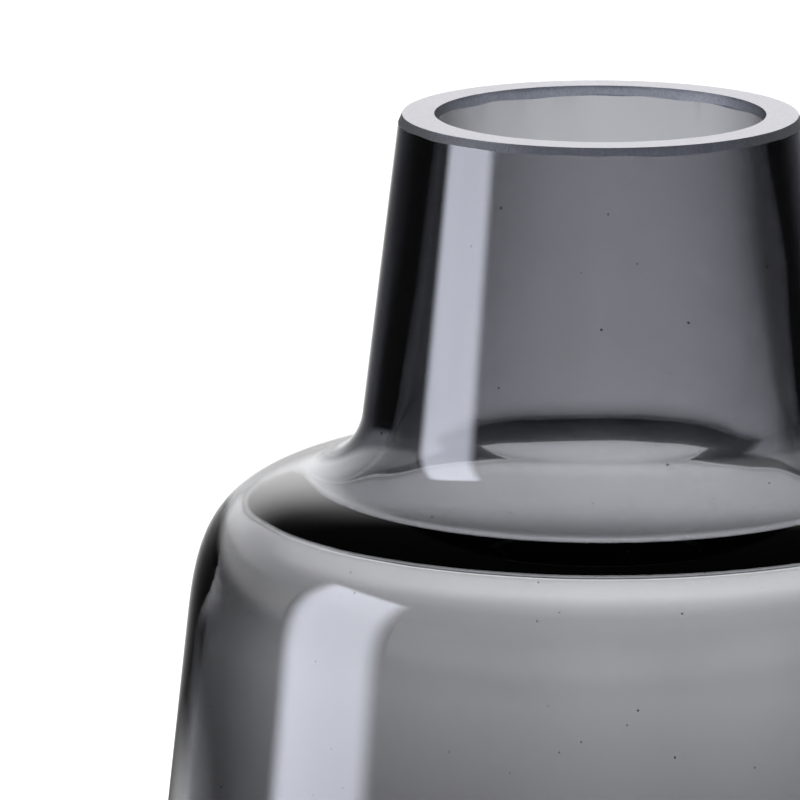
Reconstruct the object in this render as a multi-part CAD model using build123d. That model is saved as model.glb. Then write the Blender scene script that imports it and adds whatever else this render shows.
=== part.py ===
from build123d import *
from math import atan, cos, pi, radians, sin, tan
import os

# A mouth-blown glass vase: a conical neck with a cut and ground rim stands on a
# rounded shoulder, and the body below it flares out to a heavy base.
# Millimetres, +Z up. The origin is the centre of the foot, on the surface the vase stands on.
# The vase is one gather of glass, so it is one solid, turned about Z from one closed outline.

# Outside, from the rim down. The diameter is that of the neck where it meets the plane of the rim.
# The shoulder's straight is what is left of its slope between the neck's foot and the curve.
total_height = 240.0
rim_diameter = 71.0
neck_height = 62.5
neck_flare_angle = 6.9
neck_foot_radius = 12.0
shoulder_straight = 0.4
shoulder_fall_angle = 12.0
shoulder_curve_width = 21.3
shoulder_curve_height = 24.8
body_flare_angle = 6.2
heel_radius = 9.0

# The shoulder's curve leaves its slope softly and runs out long into the side of the body.
# The two values are the lengths of its handles, as shares of its width and of its height.
shoulder_lead_in = 0.75
shoulder_run_out = 0.62

# Glass thickness: level in the neck and the body, upright in the shoulder and the base.
# It is the same gather all over, so it is thick at the neck and thinnest where it is blown widest.
rim_wall = 6.8
neck_foot_wall = 5.3
shoulder_wall = 6.5
body_top_wall = 2.9
body_foot_wall = 4.6
base_thickness = 12.0

# The rim is cut off flat and ground, and an arris is taken off each of its edges.
outer_arris_width = 0.5
outer_arris_height = 1.5
inner_arris_width = 0.6
inner_arris_height = 1.8

# Inside, the bore rounds into a level ceiling under the shoulder, and that into the body.
# The curve's two handles are shares of its width and of its height, as outside.
inner_neck_foot_radius = 17.8
ceiling_straight = 1.6
ceiling_lead_in = 0.82
ceiling_run_out = 0.68
inner_floor_radius = 15.0

# The vase stands on a ring, and the underside inside the ring is hollowed to a shallow punt.
foot_ring_width = 10.0
punt_depth = 2.5

neck_flare = tan(radians(neck_flare_angle))
body_flare = tan(radians(body_flare_angle))
shoulder_fall = radians(shoulder_fall_angle)

# Outside stations, as (radius, height).
rim_radius = rim_diameter / 2
neck_foot = Vector(rim_radius + neck_flare * neck_height, total_height - neck_height)
neck_foot_turn = pi / 2 - atan(neck_flare) - shoulder_fall
shoulder_slope_length = neck_foot_radius * tan(neck_foot_turn / 2) + shoulder_straight
slope_end = neck_foot + Vector(cos(shoulder_fall), -sin(shoulder_fall)) * shoulder_slope_length
body_top = slope_end + Vector(shoulder_curve_width, -shoulder_curve_height)
heel_corner = Vector(body_top.X + body_flare * body_top.Y, 0)
heel_run = heel_radius * tan(radians(90 + body_flare_angle) / 2)
punt_edge = heel_corner - Vector(heel_run + foot_ring_width, 0)
punt_centre = Vector(0, punt_depth)

# Inside stations: the same places, one glass thickness in.
bore_top = Vector(rim_radius - rim_wall, total_height)
inner_neck_foot = neck_foot - Vector(neck_foot_wall, shoulder_wall)
bore_flare = (inner_neck_foot.X - bore_top.X) / (bore_top.Y - inner_neck_foot.Y)
ceiling_width = inner_neck_foot_radius * tan((pi / 2 - atan(bore_flare)) / 2) + ceiling_straight
ceiling_end = inner_neck_foot + Vector(ceiling_width, 0)
inner_body_top = body_top - Vector(body_top_wall, 0)
floor_rise = Vector(-body_flare * base_thickness, base_thickness)
floor_corner = heel_corner + floor_rise - Vector(body_foot_wall, 0)
floor_centre = Vector(0, base_thickness)

# The ends of the two arrises, along the neck's outside, the cut plane and the bore.
outer_arris_foot = Vector(
    rim_radius + neck_flare * outer_arris_height, total_height - outer_arris_height
)
outer_arris_top = Vector(rim_radius - outer_arris_width, total_height)
inner_arris_top = bore_top + Vector(inner_arris_width, 0)
inner_arris_foot = bore_top + Vector(bore_flare * inner_arris_height, -inner_arris_height)

def soft_curve(before, start, end, after, lead_in, run_out):
    """A curve that runs on from before to start, and comes at its end into the line to after."""
    leaving = (start - before).normalized() * lead_in * (end.X - start.X)
    arriving = (end - after).normalized() * run_out * (start.Y - end.Y)
    return Bezier(start, start + leaving, end + arriving, end)

def half_section():
    """The closed outline of the glass on one side of its axis."""
    with BuildSketch(Plane.XZ) as section:
        with BuildLine():
            FilletPolyline(outer_arris_foot, neck_foot, slope_end, radius=neck_foot_radius)
            soft_curve(
                neck_foot, slope_end, body_top, heel_corner, shoulder_lead_in, shoulder_run_out
            )
            FilletPolyline(body_top, heel_corner, punt_edge, radius=heel_radius)
            TangentArc(punt_centre, punt_edge, tangent=(1, 0))
            Line(punt_centre, floor_centre)
            FilletPolyline(floor_centre, floor_corner, inner_body_top, radius=inner_floor_radius)
            soft_curve(
                inner_neck_foot, ceiling_end, inner_body_top, floor_corner, ceiling_lead_in, ceiling_run_out
            )
            FilletPolyline(
                ceiling_end, inner_neck_foot, inner_arris_foot, radius=inner_neck_foot_radius
            )
            Polyline(inner_arris_foot, inner_arris_top, outer_arris_top, outer_arris_foot)
        make_face()
    return section.sketch

os.makedirs("parts", exist_ok=True)
vase_glass = revolve(half_section(), axis=Axis.Z)
export_step(vase_glass, "parts/vase_glass.step")
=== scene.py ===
from math import atan, atan2, cos, pi, radians, sin, tan

import bpy
from mathutils import Matrix, Vector


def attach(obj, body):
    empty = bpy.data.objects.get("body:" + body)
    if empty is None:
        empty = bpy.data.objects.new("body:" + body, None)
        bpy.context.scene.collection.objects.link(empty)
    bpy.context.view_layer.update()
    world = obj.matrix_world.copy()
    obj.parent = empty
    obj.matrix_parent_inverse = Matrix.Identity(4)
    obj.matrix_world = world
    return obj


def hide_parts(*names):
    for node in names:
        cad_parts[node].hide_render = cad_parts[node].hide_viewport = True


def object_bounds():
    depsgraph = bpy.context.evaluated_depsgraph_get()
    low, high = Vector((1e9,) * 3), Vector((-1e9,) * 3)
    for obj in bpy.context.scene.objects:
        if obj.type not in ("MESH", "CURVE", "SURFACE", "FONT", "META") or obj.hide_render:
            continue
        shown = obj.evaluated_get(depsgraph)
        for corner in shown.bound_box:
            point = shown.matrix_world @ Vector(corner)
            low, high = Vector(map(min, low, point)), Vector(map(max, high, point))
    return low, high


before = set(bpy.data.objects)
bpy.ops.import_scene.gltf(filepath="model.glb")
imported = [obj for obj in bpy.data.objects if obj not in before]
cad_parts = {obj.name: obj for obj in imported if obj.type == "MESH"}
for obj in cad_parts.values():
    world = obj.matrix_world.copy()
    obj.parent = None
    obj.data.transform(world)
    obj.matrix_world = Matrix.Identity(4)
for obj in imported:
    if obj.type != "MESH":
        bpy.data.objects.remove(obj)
cad_low, cad_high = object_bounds()

# ---------------------------------------------------------------------------
# The glass. A mouth-blown vase of smoke-grey soda-lime glass, all one gather: a conical
# neck, a rounded shoulder, a body that flares to a heavy foot. The blown top is cut off
# flat, ground, and an arris is ground round each edge of the cut.

MM = 0.001

rim_height = cad_high.z
rim_radius = 35.5 * MM
neck_height = 62.5 * MM
neck_flare = tan(radians(6.9))
neck_foot_round = 12.0 * MM
shoulder_straight = 0.4 * MM
shoulder_fall = radians(12.0)
shoulder_curve_width = 21.3 * MM
shoulder_curve_height = 24.8 * MM
shoulder_lead_in = 0.75
shoulder_run_out = 0.62
body_flare = tan(radians(6.2))
heel_round = 9.0 * MM
rim_wall = 6.8 * MM
neck_foot_wall = 5.3 * MM
shoulder_wall = 6.5 * MM
body_top_wall = 2.9 * MM
body_foot_wall = 4.6 * MM
base_thickness = 12.0 * MM
outer_arris_width = 0.5 * MM
outer_arris_height = 1.5 * MM
inner_arris_width = 0.6 * MM
inner_arris_height = 1.8 * MM
inner_neck_foot_round = 17.8 * MM
ceiling_straight = 1.6 * MM
ceiling_lead_in = 0.82
ceiling_run_out = 0.68
inner_floor_round = 15.0 * MM
foot_ring_width = 10.0 * MM
punt_depth = 2.5 * MM

# How much an arris is marked by grinding, where the cut plane is 1 and the blown glass is 0.
arris_grind = 0.45

# The grit of the belt is under a tenth of a millimetre. Its marks are drawn coarse enough to show.
grit_width = 0.55 * MM
grit_relief = 0.20 * MM
grit_strength = 0.7

# Stations of the outside and of the inside, as (radius, height).
neck_foot = Vector((rim_radius + neck_flare * neck_height, rim_height - neck_height))
neck_foot_turn = pi / 2 - atan(neck_flare) - shoulder_fall
slope_length = neck_foot_round * tan(neck_foot_turn / 2) + shoulder_straight
slope_end = neck_foot + Vector((cos(shoulder_fall), -sin(shoulder_fall))) * slope_length
body_top = slope_end + Vector((shoulder_curve_width, -shoulder_curve_height))
heel_corner = Vector((body_top.x + body_flare * body_top.y, 0))
heel_run = heel_round * tan((pi / 2 + atan(body_flare)) / 2)
punt_edge = heel_corner - Vector((heel_run + foot_ring_width, 0))
punt_centre = Vector((0, punt_depth))
bore_top = Vector((rim_radius - rim_wall, rim_height))
inner_neck_foot = neck_foot - Vector((neck_foot_wall, shoulder_wall))
bore_flare = (inner_neck_foot.x - bore_top.x) / (bore_top.y - inner_neck_foot.y)
ceiling_width = inner_neck_foot_round * tan((pi / 2 - atan(bore_flare)) / 2) + ceiling_straight
ceiling_end = inner_neck_foot + Vector((ceiling_width, 0))
inner_body_top = body_top - Vector((body_top_wall, 0))
floor_corner = heel_corner + Vector((-body_flare * base_thickness - body_foot_wall, base_thickness))
floor_centre = Vector((0, base_thickness))
outer_arris_foot = Vector((rim_radius + neck_flare * outer_arris_height, rim_height - outer_arris_height))
outer_arris_top = Vector((rim_radius - outer_arris_width, rim_height))
inner_arris_top = bore_top + Vector((inner_arris_width, 0))
inner_arris_foot = bore_top + Vector((bore_flare * inner_arris_height, -inner_arris_height))


def straight(start, end):
    """A straight stretch of the outline, as the four points of a Bezier curve."""
    return start, start.lerp(end, 1 / 3), start.lerp(end, 2 / 3), end


def rounding(before, corner, after, radius):
    """The arc that rounds a corner, as the four points of a Bezier curve."""
    towards_before = (before - corner).normalized()
    towards_after = (after - corner).normalized()
    opening = towards_before.angle(towards_after)
    setback = radius / tan(opening / 2)
    handle = radius * 4 / 3 * tan((pi - opening) / 4)
    start = corner + towards_before * setback
    end = corner + towards_after * setback
    return start, start - towards_before * handle, end - towards_after * handle, end


def soft_curve(before, start, end, after, lead_in, run_out):
    """A curve that runs on from before to start, and comes at its end into the line to after."""
    leaving = (start - before).normalized() * lead_in * (end.x - start.x)
    arriving = (end - after).normalized() * run_out * (start.y - end.y)
    return start, start + leaving, end + arriving, end


def punt_arc(centre, edge):
    """The shallow hollow under the foot, level at its centre."""
    level = Vector((edge.x / 3, 0))
    slope = 2 * atan2(centre.y, edge.x)
    rise = Vector((-cos(slope), sin(slope))) * edge.x / 3
    return centre, centre + level, edge + rise, edge


neck_arc = rounding(outer_arris_foot, neck_foot, slope_end, neck_foot_round)
heel_arc = rounding(body_top, heel_corner, punt_edge, heel_round)
bore_arc = rounding(inner_arris_foot, inner_neck_foot, ceiling_end, inner_neck_foot_round)
floor_arc = rounding(inner_body_top, floor_corner, floor_centre, inner_floor_round)
shoulder_arc = soft_curve(neck_foot, slope_end, body_top, heel_corner, shoulder_lead_in, shoulder_run_out)
ceiling_arc = soft_curve(
    inner_neck_foot, ceiling_end, inner_body_top, floor_corner, ceiling_lead_in, ceiling_run_out
)
outline = [
    punt_arc(punt_centre, punt_edge),
    straight(punt_edge, heel_arc[3]),
    heel_arc[::-1],
    straight(heel_arc[0], body_top),
    shoulder_arc[::-1],
    straight(slope_end, neck_arc[3]),
    neck_arc[::-1],
    straight(neck_arc[0], outer_arris_foot),
    straight(outer_arris_foot, outer_arris_top),
    straight(outer_arris_top, inner_arris_top),
    straight(inner_arris_top, inner_arris_foot),
    straight(inner_arris_foot, bore_arc[0]),
    bore_arc,
    straight(bore_arc[3], ceiling_end),
    ceiling_arc,
    straight(inner_body_top, floor_arc[0]),
    floor_arc,
    straight(floor_arc[3], floor_centre),
]

# The cut plane's place in the outline. The stretch before it and the one after it are the arrises.
cut_stretch = 9


def outline_curve(name, stretches):
    """A curve object whose splines are the stretches of the outline, in the XZ plane."""
    curve = bpy.data.curves.new(name, "CURVE")
    curve.dimensions = "3D"
    for start, leave, arrive, end in stretches:
        spline = curve.splines.new("BEZIER")
        spline.bezier_points.add(1)
        for knot, at, left, right in (
            (spline.bezier_points[0], start, start * 2 - leave, leave),
            (spline.bezier_points[1], end, arrive, end * 2 - arrive),
        ):
            knot.handle_left_type = knot.handle_right_type = "FREE"
            knot.co = (at.x, 0, at.y)
            knot.handle_left = (left.x, 0, left.y)
            knot.handle_right = (right.x, 0, right.y)
    made = bpy.data.objects.new(name, curve)
    bpy.context.scene.collection.objects.link(made)
    return made


def add_node(tree, kind, inputs=None, **settings):
    """Adds one node, with its settings and its links.

    An input is found by its name or its place, and takes a value, or a socket or node to link from.
    """
    made = tree.nodes.new(kind)
    for name, value in settings.items():
        setattr(made, name, value)
    for name, value in (inputs or {}).items():
        if isinstance(name, int):
            socket = made.inputs[name]
        else:
            socket = next(each for each in made.inputs if each.enabled and each.name == name)
        if isinstance(value, bpy.types.Node):
            value = next(each for each in value.outputs if each.enabled)
        if isinstance(value, bpy.types.NodeSocket):
            tree.links.new(value, socket)
        else:
            socket.default_value = value
    return made


def new_tree(name, sockets):
    """A Geometry Nodes tree with the named inputs, its group input's sockets and its output node."""
    tree = bpy.data.node_groups.new(name, "GeometryNodeTree")
    tree.interface.new_socket("Geometry", in_out="INPUT", socket_type="NodeSocketGeometry")
    for label, kind in sockets:
        tree.interface.new_socket(label, in_out="INPUT", socket_type="NodeSocket" + kind)
    tree.interface.new_socket("Geometry", in_out="OUTPUT", socket_type="NodeSocketGeometry")
    return tree, add_node(tree, "NodeGroupInput").outputs, add_node(tree, "NodeGroupOutput")


def about_axis(tree, angle, x, z):
    """The point (x, 0, z), carried round the vase's axis by the angle."""
    flat = add_node(tree, "ShaderNodeCombineXYZ", {"X": x, "Z": z})
    return add_node(tree, "ShaderNodeVectorRotate", {"Vector": flat, "Angle": angle}, rotation_type="Z_AXIS")


def unevenness(tree, place, lumps, *factors):
    """A soft random number from about -0.5 to 0.5 that follows the place, times the factors.

    The place is on a circle of radius 1, and lumps is how many swells there are to that radius.
    """
    noise = add_node(tree, "ShaderNodeTexNoise", {"Vector": place, "Scale": lumps, "Detail": 1.0})
    amount = add_node(tree, "ShaderNodeMath", {0: noise, 1: 0.5}, operation="SUBTRACT")
    for factor in factors:
        amount = add_node(tree, "ShaderNodeMath", {0: amount, 1: factor}, operation="MULTIPLY")
    return amount


def turned_glass_tree():
    """Turns the outline about the Z axis, and gives its surface what blowing and grinding leave."""
    tree, given, result = new_tree(
        "turned_glass",
        [
            ("Stretches", "Int"),
            ("Points on Stretch", "Int"),
            ("Segments", "Int"),
            ("Cut Stretch", "Int"),
            ("Arris Grind", "Float"),
            ("Rim Height", "Float"),
            ("Neck Flare", "Float"),
            ("Arris Height", "Float"),
            ("Arris Fade", "Float"),
            ("Arris Waver", "Float"),
            ("Arris Lumps", "Float"),
            ("Bore Waver", "Float"),
            ("Bore Lumps", "Float"),
            ("Bore Lumps Upright", "Float"),
            ("Even Near Axis", "Float"),
            ("Even Near Rim", "Float"),
            ("Glass", "Material"),
        ],
    )

    # A grid becomes the surface: a row for each point on the outline, and columns round the vase.
    points = given["Points on Stretch"]
    rows = add_node(tree, "FunctionNodeIntegerMath", {0: given["Stretches"], 1: points}, operation="MULTIPLY")
    columns = add_node(tree, "FunctionNodeIntegerMath", {0: given["Segments"], 1: 1}, operation="ADD")
    grid = add_node(tree, "GeometryNodeMeshGrid", {"Vertices X": rows, "Vertices Y": columns})
    index = add_node(tree, "GeometryNodeInputIndex")
    row = add_node(tree, "FunctionNodeIntegerMath", {0: index, 1: columns}, operation="DIVIDE_FLOOR")
    column = add_node(tree, "FunctionNodeIntegerMath", {0: index, 1: columns}, operation="MODULO")
    stretch = add_node(tree, "FunctionNodeIntegerMath", {0: row, 1: points}, operation="DIVIDE_FLOOR")
    along = add_node(tree, "FunctionNodeIntegerMath", {0: row, 1: points}, operation="MODULO")
    last = add_node(tree, "FunctionNodeIntegerMath", {0: points, 1: 1}, operation="SUBTRACT")
    share = add_node(tree, "ShaderNodeMath", {0: along, 1: last}, operation="DIVIDE")
    angle = add_node(
        tree, "ShaderNodeMapRange", {"Value": column, "From Max": given["Segments"], "To Max": 2 * pi}
    )
    on_outline = add_node(
        tree,
        "GeometryNodeSampleCurve",
        {"Curves": given["Geometry"], "Factor": share, "Curve Index": stretch},
        mode="FACTOR",
        use_all_curves=False,
    )
    section = add_node(tree, "ShaderNodeSeparateXYZ", {0: on_outline.outputs["Position"]}).outputs
    radius, height = section["X"], section["Z"]
    depth = add_node(tree, "ShaderNodeMath", {0: given["Rim Height"], 1: height}, operation="SUBTRACT")
    past_cut = add_node(tree, "ShaderNodeMath", {0: stretch, 1: given["Cut Stretch"]}, operation="SUBTRACT")
    in_bore = add_node(tree, "ShaderNodeMath", {0: past_cut, 1: 1.5}, operation="GREATER_THAN")

    # The lower edge of each arris wavers, as a belt grinds a rim that isn't quite true.
    reached = add_node(tree, "ShaderNodeMapRange", {"Value": depth, "From Max": given["Arris Height"]})
    fading = add_node(
        tree,
        "ShaderNodeMapRange",
        {
            "Value": depth,
            "From Min": given["Arris Height"],
            "From Max": given["Arris Fade"],
            "To Min": 1.0,
            "To Max": 0.0,
        },
    )
    on_rim = about_axis(tree, angle, 1.0, in_bore)
    drop = unevenness(tree, on_rim, given["Arris Lumps"], given["Arris Waver"], reached, fading)

    # Inside, where only breath shaped it, the wall is never quite even.
    from_axis = add_node(tree, "ShaderNodeMapRange", {"Value": radius, "From Max": given["Even Near Axis"]})
    from_rim = add_node(tree, "ShaderNodeMapRange", {"Value": depth, "From Max": given["Even Near Rim"]})
    upright = add_node(
        tree, "ShaderNodeMath", {0: height, 1: given["Bore Lumps Upright"]}, operation="MULTIPLY"
    )
    on_wall = about_axis(tree, angle, 1.0, upright)
    swell = unevenness(
        tree, on_wall, given["Bore Lumps"], given["Bore Waver"], in_bore, from_axis, from_rim
    )
    swollen = add_node(tree, "ShaderNodeMath", {0: radius, 1: swell}, operation="ADD")
    widened = add_node(
        tree, "ShaderNodeMath", {0: drop, 1: given["Neck Flare"], 2: swollen}, operation="MULTIPLY_ADD"
    )
    lowered = add_node(tree, "ShaderNodeMath", {0: height, 1: drop}, operation="SUBTRACT")

    # Each face is marked with how it was ground: 1 on the cut plane, less on the arrises, else 0.
    is_ground = add_node(tree, "ShaderNodeMath", {0: past_cut, 1: 0.0, 2: 1.5}, operation="COMPARE")
    is_cut = add_node(tree, "ShaderNodeMath", {0: past_cut, 1: 0.0, 2: 0.5}, operation="COMPARE")
    arris = add_node(tree, "ShaderNodeMath", {0: is_ground, 1: given["Arris Grind"]}, operation="MULTIPLY")
    ground = add_node(tree, "ShaderNodeMix", {"Factor": is_cut, "A": arris, "B": 1.0})
    kept = add_node(tree, "GeometryNodeCaptureAttribute", {"Geometry": grid.outputs["Mesh"]})
    kept.capture_items.new("FLOAT", "ground")
    tree.links.new(ground.outputs["Result"], kept.inputs["ground"])
    turned = add_node(
        tree,
        "GeometryNodeSetPosition",
        {"Geometry": kept.outputs["Geometry"], "Position": about_axis(tree, angle, widened, lowered)},
    )
    marked = add_node(
        tree,
        "GeometryNodeStoreNamedAttribute",
        {"Geometry": turned, "Name": "ground", "Value": kept.outputs["ground"]},
        data_type="FLOAT",
        domain="FACE",
    )
    joined = add_node(tree, "GeometryNodeMergeByDistance", {"Geometry": marked, "Distance": 0.002 * MM})
    outward = add_node(tree, "GeometryNodeFlipFaces", {"Mesh": joined})
    smooth = add_node(tree, "GeometryNodeSetShadeSmooth", {"Geometry": outward})
    real = add_node(tree, "GeometryNodeRealizeInstances", {"Geometry": smooth})
    finished = add_node(tree, "GeometryNodeSetMaterial", {"Geometry": real, "Material": given["Glass"]})
    tree.links.new(finished.outputs["Geometry"], result.inputs["Geometry"])
    return tree


def grown(name, host, tree, values):
    """The plain mesh that a Geometry Nodes tree makes on its host, in an object of its own."""
    modifier = host.modifiers.new(name, "NODES")
    modifier.node_group = tree
    for item in tree.interface.items_tree:
        if item.item_type == "SOCKET" and item.in_out == "INPUT" and item.name in values:
            modifier[item.identifier] = values[item.name]
    bpy.context.view_layer.update()
    seen = host.evaluated_get(bpy.context.evaluated_depsgraph_get())
    mesh = bpy.data.meshes.new_from_object(seen)
    host.modifiers.remove(modifier)
    mesh.name = name
    made = bpy.data.objects.new(name, mesh)
    bpy.context.scene.collection.objects.link(made)
    return made


def linear(hex_colour):
    """A colour written as sRGB hex, as the linear values that a shader takes."""
    channels = [int(hex_colour[i : i + 2], 16) / 255 for i in (0, 2, 4)]
    return [c / 12.92 if c <= 0.04045 else ((c + 0.055) / 1.055) ** 2.4 for c in channels] + [1.0]


def new_material(name):
    """An empty node material, with its tree and its output node."""
    material = bpy.data.materials.new(name)
    material.use_nodes = True
    material.node_tree.nodes.clear()
    return material, material.node_tree, add_node(material.node_tree, "ShaderNodeOutputMaterial")


def smoke_glass():
    """Smoke-grey soda-lime glass, fire-polished where blown and belt-ground at the rim."""
    material, tree, output = new_material("smoke_soda_lime_glass")
    ground = add_node(tree, "ShaderNodeAttribute", attribute_name="ground").outputs["Fac"]
    place = add_node(tree, "ShaderNodeTexCoord").outputs["Object"]

    # The blown skin is clear. The cut plane takes the light and looks frosted white. The coarser
    # arrises let it in, and the smoke of the glass behind them shows, grainy; their slate blue is
    # painted shade, for the dark room that they mirror.
    finish = {"tint_and_painted_shade": (linear("ffffff"), linear("9aa3b8"), linear("f7f6ff"))}
    for name, blown, arris, cut in (
        ("roughness", 0.0, 0.45, 0.45),
        ("transmission", 1.0, 0.96, 0.55),
        ("graininess", 0.0, 1.0, 0.35),
    ):
        finish[name] = [(amount, amount, amount, 1.0) for amount in (blown, arris, cut)]
    for name, (blown, arris, cut) in finish.items():
        finish[name] = add_node(tree, "ShaderNodeValToRGB", {"Fac": ground})
        stops = finish[name].color_ramp.elements
        stops[0].color = blown
        stops[1].color = cut
        stops.new(arris_grind).color = arris

    # Painted shade darkens the grit's hollows a little, and the grit catches the light in its relief.
    grit = add_node(tree, "ShaderNodeTexNoise", {"Vector": place, "Scale": 1 / grit_width, "Detail": 3.0})
    grit_hollow_shade = add_node(
        tree, "ShaderNodeMapRange", {"Value": grit, "From Min": 0.35, "From Max": 0.65, "To Min": 0.70}
    )
    grit_hollow_shade = add_node(tree, "ShaderNodeMix", {"Factor": finish["graininess"], "A": 1.0, "B": grit_hollow_shade})
    tint_and_painted_shade = add_node(
        tree,
        "ShaderNodeMix",
        {"Factor": 1.0, "A": finish["tint_and_painted_shade"], "B": grit_hollow_shade},
        data_type="RGBA",
        blend_type="MULTIPLY",
    )
    strength = add_node(
        tree, "ShaderNodeMath", {0: finish["graininess"], 1: grit_strength}, operation="MULTIPLY"
    )
    relief = add_node(
        tree, "ShaderNodeBump", {"Height": grit, "Strength": strength, "Distance": grit_relief}
    )
    skin = add_node(
        tree,
        "ShaderNodeBsdfPrincipled",
        {
            "Base Color": tint_and_painted_shade,
            "IOR": 1.52,
            "Roughness": finish["roughness"],
            "Transmission Weight": finish["transmission"],
            "Normal": relief,
        },
    )

    # The smoke is in the glass itself, so the thick foot and shoulder are the darkest.
    smoke = add_node(tree, "ShaderNodeVolumeAbsorption", {"Color": linear("898b97"), "Density": 190.0})
    tree.links.new(skin.outputs[0], output.inputs["Surface"])
    tree.links.new(smoke.outputs[0], output.inputs["Volume"])
    return material


vase_outline = outline_curve("vase_outline", outline)
vase = grown(
    "blown_glass_vase",
    vase_outline,
    turned_glass_tree(),
    {
        "Stretches": len(outline),
        "Points on Stretch": 14,
        "Segments": 360,
        "Cut Stretch": cut_stretch,
        "Arris Grind": arris_grind,
        "Rim Height": rim_height,
        "Neck Flare": neck_flare,
        "Arris Height": outer_arris_height,
        "Arris Fade": 7 * outer_arris_height,
        "Arris Waver": 1.3 * MM,
        "Arris Lumps": 2.6,
        "Bore Waver": 0.5 * MM,
        "Bore Lumps": 2.0,
        "Bore Lumps Upright": 9.0,
        "Even Near Axis": 30.0 * MM,
        "Even Near Rim": 20.0 * MM,
        "Glass": smoke_glass(),
    },
)
bpy.data.objects.remove(vase_outline)
vase.data.set_sharp_from_angle(angle=radians(15))
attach(vase, "root")
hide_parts("vase_glass")

# ---------------------------------------------------------------------------
# The seeds: tiny air bubbles and specks that the gather caught. They lie in the wall a little
# under the outer skin, and they are so small that the eye sees only dark points.


def seed_speck():
    """The dark point that a seed is to the eye: slate to near black from one to the next. On the air bubbles,
    this dark is painted shade.
    """
    material, tree, output = new_material("seed_in_glass")
    place = add_node(tree, "ShaderNodeTexCoord").outputs["Object"]
    patch = add_node(tree, "ShaderNodeTexNoise", {"Vector": place, "Scale": 1 / (12.0 * MM), "Detail": 1.0})
    colour = add_node(
        tree,
        "ShaderNodeMix",
        {"Factor": patch, "A": linear("121318"), "B": linear("34363f")},
        data_type="RGBA",
    )
    speck = add_node(
        tree, "ShaderNodeBsdfPrincipled", {"Base Color": colour, "Roughness": 0.35, "IOR": 1.1}
    )
    tree.links.new(speck.outputs[0], output.inputs["Surface"])
    return material


def seeds_tree():
    """Strews tiny beads under the outer skin of the wall, between two heights."""
    tree, given, result = new_tree(
        "seeds_in_glass",
        [
            ("Seeds per Square Metre", "Float"),
            ("Lowest", "Float"),
            ("Highest", "Float"),
            ("Least Depth", "Float"),
            ("Most Depth", "Float"),
            ("Least Radius", "Float"),
            ("Most Radius", "Float"),
            ("Draw", "Int"),
            ("Speck", "Material"),
        ],
    )

    # The outer skin is where the surface faces away from the centre of the foot.
    place = add_node(tree, "GeometryNodeInputPosition")
    normal = add_node(tree, "GeometryNodeInputNormal")
    facing = add_node(tree, "ShaderNodeVectorMath", {0: place, 1: normal}, operation="DOT_PRODUCT")
    outer = add_node(tree, "ShaderNodeMath", {0: facing, 1: 0.0}, operation="GREATER_THAN")
    height = add_node(tree, "ShaderNodeSeparateXYZ", {0: place}).outputs["Z"]
    above = add_node(tree, "ShaderNodeMath", {0: height, 1: given["Lowest"]}, operation="GREATER_THAN")
    below = add_node(tree, "ShaderNodeMath", {0: height, 1: given["Highest"]}, operation="LESS_THAN")
    in_span = add_node(tree, "ShaderNodeMath", {0: above, 1: below}, operation="MULTIPLY")
    chosen = add_node(tree, "ShaderNodeMath", {0: outer, 1: in_span}, operation="MULTIPLY")
    points = add_node(
        tree,
        "GeometryNodeDistributePointsOnFaces",
        {
            "Mesh": given["Geometry"],
            "Selection": chosen,
            "Density": given["Seeds per Square Metre"],
            "Seed": given["Draw"],
        },
    )
    depth = add_node(
        tree,
        "FunctionNodeRandomValue",
        {"Min": given["Least Depth"], "Max": given["Most Depth"], "Seed": given["Draw"]},
    )
    minus_depth = add_node(tree, "ShaderNodeMath", {0: depth, 1: -1.0}, operation="MULTIPLY")
    inward = add_node(
        tree,
        "ShaderNodeVectorMath",
        {0: points.outputs["Normal"], "Scale": minus_depth},
        operation="SCALE",
    )
    sunk = add_node(
        tree, "GeometryNodeSetPosition", {"Geometry": points.outputs["Points"], "Offset": inward}
    )

    # Most seeds are pinpricks, and a few are larger, so the even chance is squared.
    next_draw = add_node(tree, "ShaderNodeMath", {0: given["Draw"], 1: 1.0}, operation="ADD")
    chance = add_node(tree, "FunctionNodeRandomValue", {"Min": 0.0, "Max": 1.0, "Seed": next_draw})
    few_large = add_node(tree, "ShaderNodeMath", {0: chance, 1: 2.0}, operation="POWER")
    radius = add_node(
        tree,
        "ShaderNodeMapRange",
        {"Value": few_large, "To Min": given["Least Radius"], "To Max": given["Most Radius"]},
    )
    bead = add_node(tree, "GeometryNodeMeshIcoSphere", {"Radius": 1.0, "Subdivisions": 2})
    strewn = add_node(
        tree, "GeometryNodeInstanceOnPoints", {"Points": sunk, "Instance": bead, "Scale": radius}
    )
    real = add_node(tree, "GeometryNodeRealizeInstances", {"Geometry": strewn})
    finished = add_node(tree, "GeometryNodeSetMaterial", {"Geometry": real, "Material": given["Speck"]})
    tree.links.new(finished.outputs["Geometry"], result.inputs["Geometry"])
    return tree


wall = bpy.data.objects.new("wall_to_strew", vase.data)
bpy.context.scene.collection.objects.link(wall)
seeds = grown(
    "seeds_in_glass",
    wall,
    seeds_tree(),
    {
        "Seeds per Square Metre": 2400.0,
        "Lowest": 20.0 * MM,
        "Highest": rim_height - 8.0 * MM,
        "Least Depth": 0.8 * MM,
        "Most Depth": 2.0 * MM,
        "Least Radius": 0.12 * MM,
        "Most Radius": 0.26 * MM,
        "Draw": 11,
        "Speck": seed_speck(),
    },
)
bpy.data.objects.remove(wall)
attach(seeds, "root")

# ---------------------------------------------------------------------------
# The studio: a pale floor under a white surround. Glass gets its dark edges from black cards at
# its sides. There are no cards here: the floor and the surround are dark only where the glass
# shows them, through itself or mirrored, and white gaps are left in that dark, behind the vase.

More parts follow.
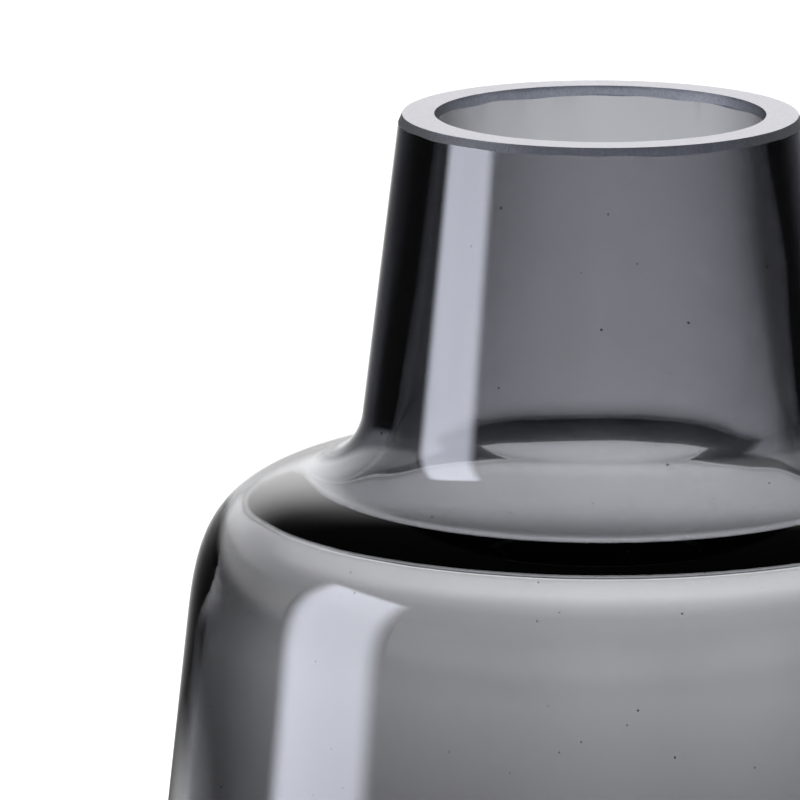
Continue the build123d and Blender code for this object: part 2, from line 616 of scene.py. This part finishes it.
# The gaps' level directions: straight behind the vase as seen from the front, then from the
# right, the back, the left and the back left, and from the front right for one close by.
white_behind = (sin(radians(2.5)), cos(radians(2.5)), 0)
behind_other_sides = ((-1, 0, 0), (0, -1, 0), (1, 0, 0), (0.707, -0.707, 0))
back_left = (-0.707, 0.707, 0)

# Half the light is left 15 degrees off the middle of a gap.
gap_sharpness = 20.0

# How bright the glass sees the parts of the studio.
floor_black = 0.004
wall_black = 0.01
wall_white = 0.9
ceiling_black_through = 0.03
ceiling_black_mirrored = 0.02


def lit_way(tree, level_way, way):
    """A white gap in the dark: 1 along the way, fading to 0 at its two sides."""
    along = add_node(tree, "ShaderNodeVectorMath", {0: level_way, 1: way}, operation="DOT_PRODUCT")
    ahead = add_node(tree, "ShaderNodeMath", {0: along, 1: 0.0}, operation="MAXIMUM")
    return add_node(tree, "ShaderNodeMath", {0: ahead, 1: gap_sharpness}, operation="POWER")


def lit_for_others(tree, level_way):
    """The gaps straight behind the vase as its sides and its back are seen, through the glass."""
    lit = 0.0
    for way in behind_other_sides:
        gap = lit_way(tree, level_way, way)
        lit = add_node(tree, "ShaderNodeMath", {0: lit, 1: gap}, operation="MAXIMUM")
    through = add_node(tree, "ShaderNodeLightPath").outputs["Is Transmission Ray"]
    return add_node(tree, "ShaderNodeMath", {0: lit, 1: through}, operation="MULTIPLY")


def as_seen(tree, in_glass):
    """1 for what is seen plainly, and in_glass for what is seen through the glass or mirrored in it."""
    path = add_node(tree, "ShaderNodeLightPath").outputs
    by_glass = add_node(
        tree,
        "ShaderNodeMath",
        {0: path["Is Glossy Ray"], 1: path["Is Transmission Ray"]},
        operation="MAXIMUM",
    )
    return add_node(tree, "ShaderNodeMix", {"Factor": by_glass, "A": 1.0, "B": in_glass})


def studio_floor():
    """Matt white paper. As the glass sees it, light and shade are painted into its colour: lit round its own
    foot, and a painted shadow a little further off.
    """
    bpy.ops.mesh.primitive_plane_add(size=30)
    floor = bpy.context.object
    floor.name = "studio_floor"
    material, tree, output = new_material("matt_white_paper")
    place = add_node(tree, "ShaderNodeTexCoord").outputs["Object"]
    distance = add_node(tree, "ShaderNodeVectorMath", {0: place}, operation="LENGTH")
    level_way = add_node(tree, "ShaderNodeVectorMath", {0: place}, operation="NORMALIZE")

    # Painted light in the gaps and close round the foot, black elsewhere, and a painted shadow over all of it
    # near the vase.
    at_foot = add_node(
        tree,
        "ShaderNodeMapRange",
        {"Value": distance, "From Min": 0.16, "From Max": 0.30, "To Min": 1.0, "To Max": 0.0},
        interpolation_type="SMOOTHSTEP",
    )
    lit = floor_black
    for light in (lit_way(tree, level_way, white_behind), lit_for_others(tree, level_way), at_foot):
        lit = add_node(tree, "ShaderNodeMath", {0: lit, 1: light}, operation="MAXIMUM")
    shade = add_node(
        tree,
        "ShaderNodeMapRange",
        {"Value": distance, "From Min": 0.34, "From Max": 0.74, "To Min": 0.38, "To Max": 1.0},
        interpolation_type="SMOOTHSTEP",
    )
    shaded = add_node(tree, "ShaderNodeMath", {0: lit, 1: shade}, operation="MULTIPLY")

    # Seen from the front right and from higher up, the floor close by at the back left is what
    # lies straight behind the vase, so a patch of it is painted pale.
    patch = add_node(
        tree,
        "ShaderNodeMapRange",
        {"Value": distance, "From Min": 0.50, "From Max": 0.70, "To Min": 0.8, "To Max": 0.0},
        interpolation_type="SMOOTHSTEP",
    )
    corner = add_node(
        tree, "ShaderNodeMath", {0: lit_way(tree, level_way, back_left), 1: patch}, operation="MULTIPLY"
    )
    in_glass = add_node(tree, "ShaderNodeMath", {0: shaded, 1: corner}, operation="MAXIMUM")
    colour = add_node(
        tree,
        "ShaderNodeMix",
        {"Factor": as_seen(tree, in_glass), "A": linear("000000"), "B": linear("fcfcfc")},
        data_type="RGBA",
    )
    paper = add_node(
        tree,
        "ShaderNodeBsdfPrincipled",
        {"Base Color": colour, "Roughness": 0.9, "Specular IOR Level": 0.1},
    )
    tree.links.new(paper.outputs[0], output.inputs["Surface"])
    floor.data.materials.append(material)
    return floor


def white_surround():
    """A soft white surround. Glass sees a dark ceiling, black low down, and white behind."""
    surround = bpy.data.worlds.new("soft_white_surround")
    surround.use_nodes = True
    tree = surround.node_tree
    way = add_node(tree, "ShaderNodeTexCoord").outputs["Generated"]
    rise = add_node(tree, "ShaderNodeSeparateXYZ", {0: way}).outputs["Z"]
    flat = add_node(tree, "ShaderNodeVectorMath", {0: way, 1: (1, 1, 0)}, operation="MULTIPLY")
    level_way = add_node(tree, "ShaderNodeVectorMath", {0: flat}, operation="NORMALIZE")

    # The walls are black low down, apart from the gaps.
    low_wall = add_node(
        tree,
        "ShaderNodeMapRange",
        {"Value": rise, "From Min": 0.03, "From Max": 0.16, "To Min": wall_black, "To Max": wall_white},
        interpolation_type="SMOOTHSTEP",
    )
    gaps = add_node(
        tree, "ShaderNodeMath", {0: lit_for_others(tree, level_way), 1: wall_white}, operation="MULTIPLY"
    )
    walls = add_node(tree, "ShaderNodeMath", {0: low_wall, 1: gaps}, operation="MAXIMUM")

    # The ceiling darkens lower down for what is mirrored than for what is seen through the glass.
    through = add_node(
        tree,
        "ShaderNodeMapRange",
        {"Value": rise, "From Min": 0.55, "From Max": 0.75, "To Min": 1.0, "To Max": ceiling_black_through},
        interpolation_type="SMOOTHSTEP",
    )
    mirrored = add_node(
        tree,
        "ShaderNodeMapRange",
        {"Value": rise, "From Min": 0.25, "From Max": 0.48, "To Min": 1.0, "To Max": ceiling_black_mirrored},
        interpolation_type="SMOOTHSTEP",
    )
    is_mirrored = add_node(tree, "ShaderNodeLightPath").outputs["Is Glossy Ray"]
    ceiling = add_node(tree, "ShaderNodeMix", {"Factor": is_mirrored, "A": through, "B": mirrored})
    room = add_node(tree, "ShaderNodeMath", {0: walls, 1: ceiling}, operation="MULTIPLY")

    # Straight behind, as seen from the front, the white is brighter, and fades out 20 to 37
    # degrees above the level.
    card_top = add_node(
        tree,
        "ShaderNodeMapRange",
        {"Value": rise, "From Min": 0.35, "From Max": 0.60, "To Min": 1.1, "To Max": 0.0},
        interpolation_type="SMOOTHSTEP",
    )
    in_glass = add_node(
        tree,
        "ShaderNodeMath",
        {0: lit_way(tree, level_way, white_behind), 1: card_top, 2: room},
        operation="MULTIPLY_ADD",
    )
    back = tree.nodes["Background"]
    back.inputs["Color"].default_value = linear("ffffff")
    tree.links.new(as_seen(tree, in_glass).outputs[0], back.inputs["Strength"])
    return surround


def tall_softbox(place, aim, width, height, strength):
    """An upright softbox, brightest in the middle, that is seen only as the glass mirrors it."""
    bpy.ops.mesh.primitive_plane_add(size=1)
    box = bpy.context.object
    box.name = "tall_softbox"
    box.data.transform(Matrix.Diagonal((width, height, 1, 1)))
    box.location = place
    box.rotation_euler = (Vector(aim) - Vector(place)).to_track_quat("Z", "Y").to_euler()
    material, tree, output = new_material("softbox_diffuser")
    on_box = add_node(tree, "ShaderNodeTexCoord").outputs["Object"]
    spot = add_node(tree, "ShaderNodeSeparateXYZ", {0: on_box}).outputs
    aside = add_node(tree, "ShaderNodeMath", {0: spot["X"]}, operation="ABSOLUTE")
    glow = strength
    for reach, plain_share, size in ((aside, 0.28, width), (spot["Y"], 0.42, height)):
        fall = add_node(
            tree,
            "ShaderNodeMapRange",
            {
                "Value": reach,
                "From Min": size * plain_share,
                "From Max": size * 0.5,
                "To Min": 1.0,
                "To Max": 0.0,
            },
            interpolation_type="SMOOTHSTEP",
        )
        glow = add_node(tree, "ShaderNodeMath", {0: glow, 1: fall}, operation="MULTIPLY")
    light = add_node(tree, "ShaderNodeEmission", {"Color": linear("ecf0ff"), "Strength": glow})
    tree.links.new(light.outputs[0], output.inputs["Surface"])
    box.data.materials.append(material)
    box.visible_camera = False
    box.visible_diffuse = False
    box.visible_transmission = False
    return box


studio_floor()
scene = bpy.context.scene
scene.world = white_surround()
tall_softbox((-0.62, -0.150, 0.31), (0, 0, 0.31), 0.43, 0.66, 9.3)

# A broad softbox hangs behind the vase, high up, and gives the floor its soft shadow.
overhead_place = Vector((0.2, 0.6, 1.5))
overhead_aim = Vector((0.0, 0.2, 0.0))
overhead = bpy.data.lights.new("overhead_softbox", "AREA")
overhead.size = 1.2
overhead.energy = 12.0
overhead_softbox = bpy.data.objects.new("overhead_softbox", overhead)
overhead_softbox.location = overhead_place
overhead_softbox.rotation_euler = (overhead_place - overhead_aim).to_track_quat("Z", "Y").to_euler()
overhead_softbox.visible_glossy = False
overhead_softbox.visible_transmission = False
scene.collection.objects.link(overhead_softbox)

# ---------------------------------------------------------------------------
# The camera looks down at the rim from a little in front, turned to the left, so that the
# vase runs out of the frame at the right and at the bottom.

camera_distance = 1330 * MM
camera_elevation = radians(9.813)
camera_dip = radians(11.998)
camera_turn = radians(1.545)
camera_rise = camera_distance * sin(camera_elevation)
lens = bpy.data.cameras.new("camera")
lens.sensor_width = 36
lens.lens = 338.81
camera = bpy.data.objects.new("camera", lens)
camera.location = (0, -camera_distance * cos(camera_elevation), rim_height + camera_rise)
camera.rotation_euler = (pi / 2 - camera_dip, 0, camera_turn)
scene.collection.objects.link(camera)
scene.camera = camera
scene.view_settings.view_transform = "Standard"

# Light crosses the wall many times on its way through, so it is given as many bounces.
scene.cycles.max_bounces = 24
scene.cycles.transmission_bounces = 24
scene.cycles.glossy_bounces = 12
